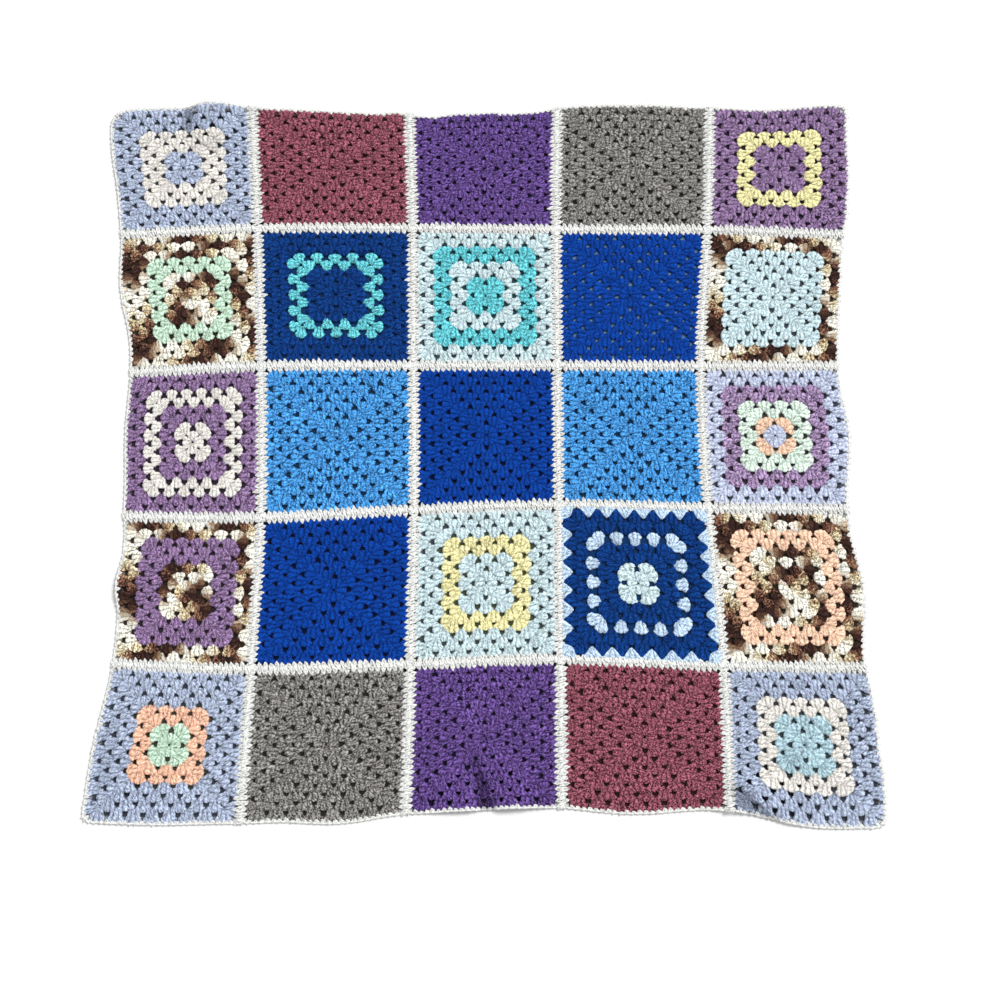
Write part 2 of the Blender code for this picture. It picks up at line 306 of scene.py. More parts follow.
@dataclass(frozen=True)
class VariegatedYarn(YarnFinish):
    """Yarn dyed in short lengths of dark brown, rust, tan and cream, which run into each other."""

    mixing: float = 0.5  # how far the flecks blur the lengths, in repeats
    lengths: tuple = (  # where each colour lies along one repeat, and its channels
        (0.00, 46, 30, 28), (0.18, 58, 38, 33), (0.24, 116, 80, 64), (0.33, 142, 108, 84),
        (0.39, 190, 172, 136), (0.50, 212, 200, 170), (0.58, 238, 234, 220),
        (0.82, 242, 240, 228), (0.87, 178, 154, 120), (0.95, 102, 68, 54),
    )

    def dye(self, shader: Shader, fleck: Wire) -> Wire:
        """Colour by how far along its length the yarn has come; see YarnFinish.dye."""
        place = (shader.attribute("dye") + (fleck - 0.5) * self.mixing) % 1.0
        stops = tuple((start, linear(*channels)) for start, *channels in self.lengths)
        return shader.node("ShaderNodeValToRGB", {"stops": stops}, {"Fac": place})


# How strongly a yarn's flecks show, their width and length, and the brightness of the painted shade
# deep between strands: of most yarns, and of those that differ.
USUAL_LOOK = (3.2, 1.1, 3.4, 0.36)
YARN_LOOKS = {
    Yarn.DUSTY_ROSE: (7.5, 1.2, 2.2, 0.10),
    Yarn.DEEP_PURPLE: (7.5, 1.0, 3.2, 0.10),
    Yarn.GREY: (7.5, 1.2, 2.6, 0.08),
    Yarn.AZURE: (5.5, 1.1, 2.8, 0.14),
    Yarn.LILAC_PURPLE: (5.5, 1.0, 3.0, 0.14),
    Yarn.ORCHID: (5.5, 1.0, 3.0, 0.14),
    Yarn.TURQUOISE: (4.2, 1.1, 3.0, 0.24),
    Yarn.PERIWINKLE: (3.8, 1.1, 3.4, 0.26),
    Yarn.CREAM: (2.6, 1.1, 3.4, 0.38),
    Yarn.NAVY: (3.6, 1.1, 2.8, 0.16),
    Yarn.ROYAL_BLUE: (2.8, 1.0, 3.0, 0.16),
}


def yarn_finish(yarn: Yarn) -> YarnFinish:
    """Finish of one yarn."""
    if yarn is Yarn.IVORY:
        return YarnFinish(yarn.colour, deep=0.46, crest=1.02, fleck_range=1.6)
    if yarn is Yarn.VARIEGATED:
        return VariegatedYarn(yarn.colour, fleck_range=3.4)
    strength, width, length, deep = YARN_LOOKS.get(yarn, USUAL_LOOK)
    return YarnFinish(yarn.colour, deep, fleck_range=strength, fleck_width=width, fleck_length=length)


# --- The lie of the cloth ---
class Edge(Enum):
    """The blanket's own edges, each with the way outwards from it."""

    HEAD = (0, 1)
    FOOT = (0, -1)
    LEFT = (-1, 0)
    RIGHT = (1, 0)


# Where the joins cross, x and y in millimetres, head row first.
CROSSINGS = (
    ((-469, 452), (-288, 453), (-88, 442), (99, 447), (293, 449), (469, 451)),
    ((-446, 279), (-276, 286), (-83, 285), (95, 282), (283, 280), (452, 272)),
    ((-425, 98), (-266, 105), (-81, 104), (94, 103), (268, 101), (436, 100)),
    ((-425, -83), (-261, -85), (-79, -77), (93, -72), (270, -77), (437, -80)),
    ((-428, -259), (-267, -266), (-82, -262), (92, -257), (281, -266), (446, -270)),
    ((-455, -441), (-274, -443), (-86, -434), (91, -428), (281, -433), (458, -454)),
)
# Where each edge stands out from, or inside, the curve through its corners: the middle along the
# edge, in squares from the head or from the left, half the length, in squares, and how far out.
BULGES = {
    Edge.HEAD: (
        (0.78, 0.26, 4.0), (1.90, 0.12, 2.5), (2.14, 0.20, -3.5), (2.75, 0.25, -3.0),
        (3.20, 0.35, 5.0), (3.55, 0.40, 5.0), (4.40, 0.45, -5.0),
    ),
    Edge.FOOT: ((0.45, 0.45, 1.5), (1.60, 0.42, 6.0), (3.42, 0.50, 7.0), (4.50, 0.55, 9.0)),
    Edge.LEFT: (
        (0.35, 0.35, 2.5), (1.40, 0.42, 7.0), (2.40, 0.50, 4.5), (3.15, 0.25, -3.0),
        (3.47, 0.22, 4.0), (4.50, 0.55, 5.0),
    ),
    Edge.RIGHT: (
        (0.60, 0.45, 5.5), (0.86, 0.14, 3.0), (2.50, 0.50, 10.0), (3.52, 0.45, 9.5),
        (4.25, 0.32, 5.0), (4.65, 0.45, 5.5),
    ),
}
# The blanket's own corners, which are drawn inwards and so rounded: their two edges, how far the tip
# is drawn in, both ways, and how far that reaches along the edges and along the diagonal.
DRAWN_CORNERS = (
    (Edge.LEFT, Edge.HEAD, 8.5, 32.0, 60.0),
    (Edge.LEFT, Edge.FOOT, 3.0, 16.0, 40.0),
    (Edge.RIGHT, Edge.HEAD, 4.5, 18.0, 36.0),
    (Edge.RIGHT, Edge.FOOT, 4.5, 20.0, 40.0),
)
# Soft rises of the cloth: x and y of the middle of the crest, the way it runs, in degrees from +X,
# half its length, the width of its left and of its right flank, and its height, in millimetres.
FOLDS = (
    (-350, 452, 90, 58, 20, 66, 10.0),  # pucker at the head edge
    (-18, -430, 102, 74, 60, 24, 5.5),  # pleat at the foot, left lip
    (26, -430, 107, 88, 16, 58, 8.0),  # and right lip
    (288, -436, 134, 34, 34, 15, 5.0),  # tucked lip by the right foot corner
    (324, -420, 139, 62, 16, 56, 7.5),  # and the swell beside it
    (-430, -172, 90, 34, 20, 30, 5.0),  # curl at the left edge
    (-398, -372, 80, 90, 36, 40, 3.5),  # swell at the left foot corner
)


def soft_bump(distance: np.ndarray, reach: Numbers) -> np.ndarray:
    """A rise of 1 at distance 0 that runs out smoothly at `reach`."""
    return np.cos(0.5 * np.pi * np.clip(distance / reach, -1, 1)) ** 2


@dataclass
class Lay:
    """How the blanket lies: where its joins cross, how its edges bulge, and its folds."""

    square: float = 180.0  # side of a square that was not pulled at all
    count: int = 5  # squares each way
    half_gap: float = 0.15  # from a solid square to the middle of its join
    trim: float = 5.0  # how much of each side a solid square's cut corner takes
    around: float = 9.0  # how far round a point its hollow is judged
    dimming: float = 0.9  # painted shade: share of the colour's brightness taken off for each millimetre of a hollow's depth
    dimmest: float = 0.66  # and at most this share
    middle: np.ndarray = field(default_factory=lambda: np.zeros(2))

    def __post_init__(self) -> None:
        """Add a mirrored row and column all round the crossings, for the curves' ends."""
        net = np.array(CROSSINGS, float)
        net = np.concatenate([2 * net[:1] - net[1:2], net, 2 * net[-1:] - net[-2:-1]])
        net = np.concatenate([2 * net[:, :1] - net[:, 1:2], net, 2 * net[:, -1:] - net[:, -2:-1]], 1)
        self.net = net

    def curve(self, place: np.ndarray) -> tuple[np.ndarray, np.ndarray]:
        """First of the four crossings that shape a curve at each place, and their four weights."""
        first = np.clip(np.floor(place), 0, self.count - 1).astype(int)
        t = place - first
        weights = np.stack([
            t * (-1 + t * (2 - t)),
            2 + t * t * (3 * t - 5),
            t * (1 + t * (4 - 3 * t)),
            t * t * (t - 1),
        ], -1)
        return first, weights / 2

    def place(self, across: np.ndarray, down: np.ndarray) -> tuple[np.ndarray, np.ndarray]:
        """Where the cloth lies.

        Args:
            across: squares from the left.
            down: squares from the head edge.

        Returns:
            x and y, in millimetres, as in CROSSINGS.
        """
        column, column_weight = self.curve(across)
        row, row_weight = self.curve(down)
        spot = np.zeros((*across.shape, 2))
        for i in range(4):
            for j in range(4):
                weight = row_weight[..., i] * column_weight[..., j]
                spot += self.net[row + i, column + j] * weight[..., None]
        x, y = spot[..., 0], spot[..., 1]
        depths = {
            Edge.HEAD: down, Edge.FOOT: self.count - down,
            Edge.LEFT: across, Edge.RIGHT: self.count - across,
        }
        for edge, bulges in BULGES.items():
            along = across if edge in (Edge.HEAD, Edge.FOOT) else down
            fade = np.clip(1 - depths[edge], 0, None) ** 2
            for middle, half_length, reach in bulges:
                push = reach * soft_bump(along - middle, half_length) * fade
                x = x + edge.value[0] * push
                y = y + edge.value[1] * push
        for side, end, pull, reach, diagonal in DRAWN_CORNERS:
            aside, below = self.square * depths[side], self.square * depths[end]
            apart = np.clip(1 - np.abs(aside - below) / reach, 0, None)
            depth = np.clip(1 - np.minimum(aside, below) / diagonal, 0, None)
            drawn = pull * apart ** 2 * depth ** 2
            x = x - side.value[0] * drawn
            y = y - end.value[1] * drawn
        return x, y

    def lift(self, x: np.ndarray, y: np.ndarray) -> np.ndarray:
        """How far the folds raise the cloth off the floor."""
        total = np.zeros_like(x)
        for crest_x, crest_y, heading, half_length, left_flank, right_flank, height in FOLDS:
            run_x, run_y = math.cos(math.radians(heading)), math.sin(math.radians(heading))
            along = (x - crest_x) * run_x + (y - crest_y) * run_y
            left = (y - crest_y) * run_x - (x - crest_x) * run_y
            flank = np.where(left > 0, left_flank, right_flank)
            total += height * soft_bump(along, half_length) * soft_bump(left, flank)
        return total

    def hollow(self, points: np.ndarray) -> np.ndarray:
        """Painted shade down between the cloth's folds: how much of the yarn's colour is kept there.

        Args:
            points: places (n, 3) on the laid blanket, in metres.

        Returns:
            The share of the colour's brightness that is kept at each.
        """
        x, y = (points[:, :2] / MM + self.middle).T
        aside = self.lift(x - self.around, y) + self.lift(x + self.around, y)
        above = self.lift(x, y - self.around) + self.lift(x, y + self.around)
        depth = (aside + above) / 4 - self.lift(x, y)
        return 1 - np.clip(depth * self.dimming, 0, self.dimmest)

    def laid(self, flat: np.ndarray) -> np.ndarray:
        """Move points from the flat plane to where the blanket lies.

        Args:
            flat: points (n, 3), in millimetres from the blanket's middle.

        Returns:
            Points (n, 3), in metres in the object's own frame.
        """
        across = flat[:, 0] / self.square + self.count / 2
        down = self.count / 2 - flat[:, 1] / self.square
        x, y = self.place(across, down)
        z = flat[:, 2] + self.lift(x, y)
        return np.stack([x - self.middle[0], y - self.middle[1], z], 1) * MM

    def centre_on(self, box: tuple) -> None:
        """Find the middle of the crossings in the object's own frame.

        Args:
            box: lowest and highest corner of the middle square's solid, in metres.
        """
        reach = self.square / 2 - self.half_gap
        cut = reach - self.trim
        spots = [(0, 0, 0)]
        for way in (-1, 1):
            spots += [(way * reach, 0, 0), (0, way * reach, 0)]
            for other in (-1, 1):
                spots += [(way * reach, other * cut, 0), (other * cut, way * reach, 0)]
        points = self.laid(np.array(spots))
        own = (points.min(0) + points.max(0)) / 2
        solid = (np.array(box[0]) + np.array(box[1])) / 2
        self.middle = self.middle + (own - solid)[:2] / MM


# --- Strands ---
DOME_SIDE = 0.12  # height of a cluster's dome at its sides, as a share
DOME_POWER = 2.6  # the higher, the flatter its top
# Across one post: its share of the post, how far it lies under the dome, painted light and notch.
POST_RIB = ((0.0, 0.25, 0.34, 1.0), (0.27, 0.06, 0.98, 0.3), (0.73, 0.06, 0.98, 0.3))


def fan_section(posts: int) -> tuple:
    """Section across a whole cluster: a low dome with one rib to a post, and creases between them.

    Args:
        posts: the cluster's double crochets.

    Returns:
        Rows as in Section.
    """
    rows = [(-1.0, -0.25, 0.35, 0.0)]
    for post in range(posts):
        for share, sink, light, notch in POST_RIB:
            across = 2 * (post + share) / posts - 1
            if across > -1:
                dome = DOME_SIDE + (1 - DOME_SIDE) * (1 - abs(across) ** DOME_POWER) ** 0.5
                rows.append((across, dome - sink, light, notch))
    rows += [(1.0, -0.25, 0.35, 0.0), (0.55, -0.60, 0.0, 0.0), (-0.55, -0.60, 0.0, 0.0)]
    return tuple(rows)


class Section(Enum):
    """Sections of a strand, clockwise as seen along it.

    Each row is one point: place across and up, in half widths and half heights, painted light (low in
    creases and underneath), and share of the ring's notch.
    """

    FAN = fan_section(3)
    POST = (
        (-1.00, -0.05, 0.55, 0.0), (-0.56, 0.90, 1.00, 0.0), (0.00, 0.30, 0.45, 0.0),
        (0.56, 0.90, 1.00, 0.0), (1.00, -0.05, 0.55, 0.0), (0.00, -0.55, 0.00, 0.0),
    )
    ROPE = (
        (-0.95, 0.10, 0.90, 0.0), (-0.45, 0.90, 1.00, 0.0), (0.45, 0.90, 1.00, 0.0),
        (0.95, 0.10, 0.90, 0.0), (0.00, -1.00, 0.00, 0.0),
    )


def placed(name: str, data: bpy.types.ID) -> bpy.types.Object:
    """Put a mesh, lamp or camera into the scene as an object."""
    thing = bpy.data.objects.new(name, data)
    bpy.context.scene.collection.objects.link(thing)
    return thing


@dataclass
class Yarnwork:
    """Closed strands of yarn, collected for one piece and made into one mesh."""

    points: list = field(default_factory=list)
    values: list = field(default_factory=list)
    quads: list = field(default_factory=list)  # pairs of faces and their material slot
    caps: list = field(default_factory=list)  # the same, at the ends of strands
    yarns: list = field(default_factory=list)
    total: int = 0
    lowest: float = 0.05  # no strand comes nearer to the floor, in millimetres

    def add(self, line: np.ndarray, half_width: np.ndarray, half_height: np.ndarray,
            section: Section, yarn: Yarn, tone: np.ndarray, dye: np.ndarray,
            shade: Numbers = 1.0, bow: Numbers = 0.0, notch: Numbers = 0.0,
            rough: "np.ndarray | None" = None, closed: bool = False) -> None:
        """Add a batch of strands that are alike.

        Args:
            line: centre lines (strands, rings, 3), in millimetres in the flat plane.
            half_width: at each ring (strands, rings).
            half_height: at each ring (strands, rings).
            section: the strands' section.
            yarn: the yarn they are made of.
            tone: how light each strand is, about -1 to 1 (strands,).
            dye: how far along a variegated yarn each strand starts and ends (strands, 2).
            shade: share of the painted light that each ring keeps.
            bow: how far each ring's two sides lie behind its middle.
            notch: how far each ring's notched points lie behind the rest.
            rough: displacement of each point (strands, rings, section, 3).
            closed: whether each line runs round to its own start.
        """
        shape = np.array(section.value)
        across, height, light, notched = shape.T
        strands, rings, _ = line.shape
        sides = len(shape)
        run = np.roll(line, -1, 1) - np.roll(line, 1, 1) if closed else np.gradient(line, axis=1)
        run /= np.linalg.norm(run, axis=2, keepdims=True)
        left = np.stack([-run[..., 1], run[..., 0], np.zeros((strands, rings))], -1)
        left /= np.linalg.norm(left, axis=2, keepdims=True)
        up = np.cross(run, left)
        back = np.reshape(bow, (-1, 1)) * across ** 2 + np.reshape(notch, (-1, 1)) * notched
        points = (
            line[:, :, None]
            - left[:, :, None] * (across * half_width[..., None])[..., None]
            + up[:, :, None] * (height * half_height[..., None])[..., None]
            - run[:, :, None] * back[..., None]
        )
        if rough is not None:
            points += rough
        points[..., 2] = np.maximum(points[..., 2], self.lowest)
        self.points.append(points.reshape(-1, 3))

        steps = np.linalg.norm(np.diff(line, axis=1), axis=2)
        travelled = np.concatenate([np.zeros((strands, 1)), np.cumsum(steps, 1)], 1)
        full = np.ones((strands, rings, sides))
        share = (across + 1) / 2
        # The first column is painted light: shade painted in creases and underneath, by section point
        # and ring.
        values = np.stack([
            full * light * np.reshape(shade, (-1, 1)),
            full * tone[:, None, None],
            full * travelled[..., None],
            across * half_width[..., None],
            full * (dye[:, :1] * (1 - share) + dye[:, 1:] * share)[:, None],
        ], -1)
        self.values.append(values.reshape(-1, 5))

        if yarn not in self.yarns:
            self.yarns.append(yarn)
        slot = self.yarns.index(yarn)
        index = np.arange(strands * rings * sides).reshape(strands, rings, sides) + self.total
        ahead = np.roll(index, -1, 1) if closed else index[:, 1:]
        here = index if closed else index[:, :-1]
        quads = np.stack([here, np.roll(here, -1, 2), np.roll(ahead, -1, 2), ahead], -1)
        self.quads.append((quads.reshape(-1, 4), slot))
        if not closed:
            self.caps.append((np.concatenate([index[:, 0, ::-1], index[:, -1]]), slot))
        self.total += index.size

    def make(self, name: str, lay: Lay, materials: dict[Yarn, bpy.types.Material]) -> bpy.types.Object:
        """Make the piece from its strands.

        Args:
            name: the piece's name.
            lay: how the blanket lies.
            materials: the material of each yarn.

        Returns:
            The piece.
        """
        flat = np.concatenate(self.points)
        points = lay.laid(flat)
        batches = self.quads + self.caps
        corners = np.concatenate([faces.ravel() for faces, _ in batches])
        lengths = np.concatenate([np.full(len(faces), faces.shape[1]) for faces, _ in batches])
        slots = np.concatenate([np.full(len(faces), slot) for faces, slot in batches])
        starts = np.concatenate([[0], np.cumsum(lengths)[:-1]])
        mesh = bpy.data.meshes.new(name)
        mesh.vertices.add(len(points))
        mesh.vertices.foreach_set("co", points.ravel())
        mesh.loops.add(len(corners))
        mesh.loops.foreach_set("vertex_index", corners.astype(np.int32))
        mesh.polygons.add(len(starts))
        mesh.polygons.foreach_set("loop_start", starts.astype(np.int32))
        mesh.polygons.foreach_set("material_index", slots.astype(np.int32))
        mesh.update(calc_edges=True)
        mesh.shade_smooth()
        for yarn in self.yarns:
            mesh.materials.append(materials[yarn])
        values = np.concatenate(self.values)
        # Painted shade in the hollows between the cloth's folds.
        values[:, 0] *= lay.hollow(points)
        for column, attribute in enumerate(("painted_light", "tone", "run", "side", "dye")):
            data = mesh.attributes.new(attribute, "FLOAT", "POINT").data
            data.foreach_set("value", np.ascontiguousarray(values[:, column], np.float32))
        # The upper side lies on the left half of the map, the under side on the right.
        a, b, c = (flat[corners[starts + step]] for step in range(3))
        below = np.repeat(np.cross(b - a, c - a)[:, 2] < 0, lengths)
        low, high = flat[:, :2].min(0), flat[:, :2].max(0)
        spots = (0.01 + 0.98 * (flat[:, :2] - low) / (high - low))[corners]
        spots[:, 0] = (spots[:, 0] + below) / 2
        layer = mesh.uv_layers.new(name=UV_NAME)
        layer.uv.foreach_set("vector", spots.astype(np.float32).ravel())
        return placed(name, mesh)


# --- Crochet ---
SIDE_COUNT = 4
PITCH = 20.2  # the usual distance from one cluster of a round to the next, in millimetres
DYE_REPEAT = 5.3  # clusters that one repeat of the variegated yarn's colours makes


@dataclass(frozen=True)
class Gauge:
    """Sizes of one square's crochet, in millimetres."""

    half_square: float = 90.0
    edge_round: float = 7.5
    hole: float = 1.2  # from the square's middle to the nearest base
    rounds: int = 8
    near: float = 1.0  # height of the first round, in even rounds
    growth: float = 0.0  # how much higher each further round is than the last
    cluster: float = PITCH  # from one cluster of a round to the next
    posts: int = 3  # double crochets in a cluster
    base: float = 1.03  # a cluster's base lies this many rounds inside its round's number
    corner_base: float = 1.08  # and a corner cluster's, both ways
    corner_inset: float = 0.5  # which stands this far off the corner's own hole
    top: float = 0.38  # a cluster's top lies this many rounds outside it
    rim_base: float = 82.0  # the last round's bases lie at most here
    rim_corner: float = 90.0  # and those of its corner clusters at most here
    rim_top: float = 85.4  # its tops lie here, under the edge round
    outer_shift: float = 3.2  # or this much further out, along the blanket's own edges
    rim_lift: float = 0.0  # and how much higher its clusters lie than the rest
    corner_lean: float = 0.9  # how far a corner cluster's top leans outwards
    rim_lean: float = 0.9  # the same in the last round
    height: float = 2.0  # half height of a cluster
    notch: float = 1.3  # depth of the notches between a cluster's posts at its top
    notch_from: float = 0.6  # where along a cluster they start, as a share of its length
    rough: float = 0.16  # unevenness of the clusters' strands
    stitch_long: float = 8.5  # from the rim to the tip of an edge stitch in a gap
    stitch_short: float = 7.6  # and of one over a cluster

    def radius(self, number: float) -> float:
        """Distance from the square's middle after a number of rounds."""
        even = (self.half_square - self.edge_round) / self.rounds
        return even * number * (self.near + self.growth * number)


# Squares that were worked in another gauge than the rest, by row and column counted from 0.
OWN_GAUGES = {
    (3, 3): Gauge(near=0.90, growth=0.0315, cluster=21.7, base=0.99, top=0.34, rim_base=74.5,
                  rim_top=88.0, rim_lift=0.9, rim_corner=76.5, rim_lean=5.0, stitch_long=4.8,
                  stitch_short=4.4),
}
# How full the clusters of a yarn are, where that differs from the rest, and in single squares.
FULLNESS = {
    Yarn.NAVY: 1.05, Yarn.ROYAL_BLUE: 1.05, Yarn.DEEP_PURPLE: 1.07, Yarn.DUSTY_ROSE: 1.04,
    Yarn.GREY: 1.04,
}
OWN_FULLNESS = {
    (1, 1): {Yarn.TURQUOISE: 0.76, Yarn.NAVY: 1.10},
    (2, 0): {Yarn.CREAM: 0.86},
    (3, 3): {Yarn.PALE_LILAC: 0.78},
}
# Form of a cluster along its axis: share of its length, half width, half height (in the gauge's
# height), height of its middle above the floor, how far its sides lag behind, and painted light, darker
# at its ends. Lengths are in millimetres.
CLUSTER = (
    (0.00, 5.4, 0.60, 2.1, -0.6, 0.60),
    (0.22, 7.4, 0.90, 2.0, 0.0, 0.85),
    (0.50, 7.9, 0.95, 1.9, 0.3, 0.95),
    (0.60, 9.9, 1.00, 1.9, 0.7, 1.00),
    (0.78, 10.4, 1.04, 1.9, 1.4, 1.05),
    (0.92, 10.0, 0.85, 1.8, 1.9, 1.00),
    (1.00, 8.7, 0.55, 1.5, 2.3, 0.75),
)
CLUSTER_AT_RIM = (
    CLUSTER[0],
    (0.24, 7.4, 0.90, 2.0, 0.0, 0.85),
    CLUSTER[2],
    (0.62, 9.9, 1.00, 1.8, 0.5, 1.00),
    (0.82, 10.3, 0.90, 1.6, 0.5, 1.00),
    (1.00, 10.2, 0.60, 1.1, 0.5, 0.85),
)
CLUSTER_AS_TOOTH = (
    (0.00, 1.2, 0.60, 2.1, -0.6, 0.80),
    (0.20, 3.6, 0.90, 2.0, 0.0, 0.95),
    (0.42, 6.0, 0.95, 1.9, 0.0, 1.00),
    (0.66, 8.6, 1.00, 1.8, 0.0, 1.00),
    (0.85, 10.2, 0.90, 1.6, 0.0, 1.00),
    (1.00, 10.4, 0.60, 1.1, 0.0, 0.85),
)
# How far the sides of the two clusters of a corner are drawn in at each of those places, because
# they share one hole.
AT_CORNER = (0.72, 0.90, 0.98, 1.0, 1.0, 1.0, 1.0)
# Form of an edge stitch from its tip to the rim: share, half width, half height, height.
EDGE_STITCH = (
    (0.00, 0.5, 0.5, 2.8),
    (0.22, 1.6, 1.0, 2.8),
    (0.45, 3.0, 1.4, 2.5),
    (1.00, 3.6, 1.4, 2.1),
)
# Form of a whip stitch from one edge to the other: share of its reach, radius and height.
WHIP_STITCH = ((-1.0, 0.45, 3.2), (-0.4, 1.1, 3.8), (0.4, 1.1, 3.8), (1.0, 0.45, 3.2))
SLOTS = {part["node"]: part["material_slot"] for part in frame["record"]["subparts"]}


def turned(line: np.ndarray, side: int) -> np.ndarray:
    """Move strands (..., 3) of the head side to another side of the square, counted clockwise."""
    x, y, z = line[..., 0], line[..., 1], line[..., 2]
    return np.stack([*((x, y), (y, -x), (-x, -y), (-y, x))[side], z], -1)


@dataclass
class GrannySquare:
    """One crocheted square. Lengths are in millimetres."""

    row: int
    column: int
    lay: Lay
    gauge: Gauge
    materials: dict[Yarn, bpy.types.Material]
    base_stray: float = 0.25  # how far the bases of clusters lie from their even places
    top_stray: float = 0.45  # and their tops
    tip_stray: float = 0.75  # and the tips of edge stitches
    edge_stray: float = 0.3  # and edge stitches along the edge
    tone_spread: float = 0.6
    size_spread: float = 0.03
    lean: float = 1.8  # how far an edge stitch slants
    closing: float = 0.985  # share of a post's width from one edge stitch to the next
    short_ends: float = 2.0  # how much shorter the first and the last stitch of a side are
    tip_inset: float = 0.4
    rim_inset: float = 0.9  # where edge stitches end, inside the square's half size
    chain_inset: float = 1.55  # the same for the middle of the chain along the rim
    chain_corner: float = 6.0
    chain_height: float = 2.0
    chain_radius: float = 1.25
    chain_wave: float = 0.25  # how much its radius changes from link to link, as a share

    def __post_init__(self) -> None:
        """Start the square's own random draws."""
        self.random = np.random.default_rng(SEED + self.row * self.lay.count + self.column)
        self.yarnwork = Yarnwork()

    @property
    def outer_sides(self) -> list[int]:
        """Sides that lie on the blanket's own edge, counted clockwise from the head side."""
        last = self.lay.count - 1
        is_outer = (self.row == 0, self.column == last, self.row == last, self.column == 0)
        return [side for side in range(SIDE_COUNT) if is_outer[side]]

    @property
    def node(self) -> str:
        """Name of the solid that this square stands for."""
        return f"square_r{self.row + 1}c{self.column + 1}"

    def home(self, line: np.ndarray) -> np.ndarray:
        """Move strands from the square's own middle to its place in the flat plane."""
        side = self.lay.square
        half = (self.lay.count - 1) / 2
        return line + np.array([(self.column - half) * side, (half - self.row) * side, 0.0])

    @staticmethod
    def faced(line: np.ndarray) -> np.ndarray:
        """Turn the strands of each side, all laid out on the head side, on to their own side."""
        return np.stack([turned(line[side], side) for side in range(SIDE_COUNT)])

    def ends(self, number: int) -> tuple[np.ndarray, np.ndarray]:
        """Base and top of each cluster of one round, along the head side.

        Args:
            number: the round, counted from 1.

        Returns:
            Two arrays of points (clusters, 2).
        """
        gauge = self.gauge
        order = np.arange(number) - (number - 1) / 2
        top_x = order * gauge.cluster
        base_x = top_x.copy()
        base_y = np.full(number, max(gauge.hole, gauge.radius(number - gauge.base)))
        top_y = np.full(number, gauge.radius(number + gauge.top))
        if number == gauge.rounds:
            base_y[:] = min(base_y[0], gauge.rim_base)
            top_y[:] = gauge.rim_top
        if number > 1:
            corner, lean = gauge.radius(number - gauge.corner_base), gauge.corner_lean
            if number == gauge.rounds:
                corner, lean = min(corner, gauge.rim_corner), gauge.rim_lean
            base_x[[0, -1]] = gauge.corner_inset - corner, corner - gauge.corner_inset
            base_y[[0, -1]] = corner
            top_x[[0, -1]] += -lean, lean
        return np.stack([base_x, base_y], -1), np.stack([top_x, top_y], -1)

    def clusters(self, number: int, yarn: Yarn, dye_start: float) -> None:
        """Work the clusters of one round, each of double crochets that fan out from one point.

        Args:
            number: the round, counted from 1.
            yarn: its yarn.
            dye_start: how far along a variegated yarn the round starts, in repeats.
        """
        gauge, draw = self.gauge, self.random
        base, top = (np.repeat(part[None], SIDE_COUNT, 0) for part in self.ends(number))
        shape, count = (SIDE_COUNT, number), SIDE_COUNT * number
        is_rim = number == gauge.rounds
        if is_rim:
            top[self.outer_sides, :, 1] += gauge.outer_shift
        base = base + draw.normal(0, self.base_stray, (*shape, 2))
        top = top + draw.normal(0, self.top_stray, (*shape, 2))
        axis = top - base
        tone = draw.normal(0, self.tone_spread, shape)
        dye = dye_start + (np.arange(count)[:, None] + np.array([0.0, 1.0])) / DYE_REPEAT

        form = CLUSTER if not is_rim else CLUSTER_AS_TOOTH if gauge.rim_lift else CLUSTER_AT_RIM
        place, half, height, z, bow, light = np.array(form).T
        line = np.empty((*shape, len(place), 3))
        line[..., :2] = base[..., None, :] + axis[..., None, :] * place[:, None]
        line[..., 2] = z + gauge.rim_lift * is_rim
        own = OWN_FULLNESS.get((self.row, self.column), {})
        fullness = own.get(yarn, FULLNESS.get(yarn, 1.0))
        fullness = max(1.0, fullness) if is_rim else fullness
        size = fullness * gauge.cluster / PITCH * draw.normal(1, self.size_spread, shape)
        widths = size[..., None] * half
        if number > 1:
            widths[:, [0, -1]] *= AT_CORNER[:len(place)]
        notch = gauge.notch * np.clip((place - gauge.notch_from) / (1 - gauge.notch_from), 0, 1)
        self.yarnwork.add(
            self.home(self.faced(line).reshape(count, -1, 3)), widths.reshape(count, -1),
            np.tile(gauge.height * height, (count, 1)), Section.FAN, yarn, tone.ravel(), dye,
            shade=light, bow=bow, notch=notch,
            rough=draw.normal(0, gauge.rough, (count, len(place), len(Section.FAN.value), 3)),
        )

    def edge_round(self) -> None:
        """Work the ivory stitches along the four sides."""
        gauge, draw = self.gauge, self.random
        step = gauge.cluster / gauge.posts
        last = int(gauge.half_square / step)
        order = np.arange(-last, last + 1)
        in_gap = (order % gauge.posts == 0) & (np.abs(order) < last - 1)
        length = np.where(in_gap, gauge.stitch_long, gauge.stitch_short)
        length[[0, -1]] -= self.short_ends
        tip = gauge.half_square - self.tip_inset - length
        place, half, height, z = np.array(EDGE_STITCH).T
        rim = gauge.half_square - self.rim_inset
        shape = (SIDE_COUNT, len(order))
        tips = tip + draw.normal(0, self.tip_stray, shape)
        tips[self.outer_sides] += gauge.outer_shift
        line = np.empty((*shape, len(place), 3))
        line[..., 0] = (order * step * self.closing)[:, None] + self.lean * (0.5 - place)
        line[..., 0] += draw.normal(0, self.edge_stray, (*shape, 1))
        line[..., 1] = tips[..., None] + (rim - tips)[..., None] * place
        line[..., 2] = z
        line[..., :2] = np.clip(line[..., :2], -rim, rim)
        line = self.faced(line).reshape(-1, len(place), 3)
        self.yarnwork.add(
            self.home(line), np.tile(half, (len(line), 1)), np.tile(height, (len(line), 1)),
            Section.POST, Yarn.IVORY, draw.normal(0, self.tone_spread, len(line)),
            np.zeros((len(line), 2)),
            rough=draw.normal(0, gauge.rough, (*line.shape[:2], len(Section.POST.value), 3)),
        )

